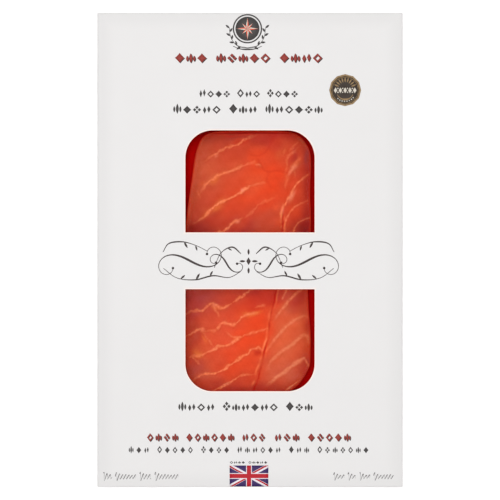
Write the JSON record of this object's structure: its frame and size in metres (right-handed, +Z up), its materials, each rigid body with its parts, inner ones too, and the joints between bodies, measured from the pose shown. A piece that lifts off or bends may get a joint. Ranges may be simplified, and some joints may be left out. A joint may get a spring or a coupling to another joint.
{
  "type": "boxed smoked salmon fillet",
  "caption": "Smoked salmon loin fillet, film-sealed on a red backing board inside a flat white folding carton with windows cut through its printed face.",
  "frame": {"origin": "middle of the carton's underside, which is its back panel", "axes": "+Z up out of the printed face with the windows, +Y towards the head of the printed face, +X to its right"},
  "size_m": [0.15, 0.233, 0.022],
  "materials": {
    "white_card": "white coated folding boxboard, satin, with a pale uncoated cut edge",
    "red_board": "deep red laminated board, smooth and slightly glossy",
    "salmon_flesh": "moist orange-pink flesh with pale fat lines",
    "clear_film": "clear shrunk vacuum film, thin, with small wrinkles",
    "grey_print": "dark grey ink",
    "red_print": "brick red ink",
    "blue_print": "navy ink",
    "gold_print": "dull gold ink"
  },
  "bodies": {
    "root": {"carton": "white_card", "backing_board": "red_board", "salmon_fillet": "salmon_flesh"}
  },
  "joints": []
}
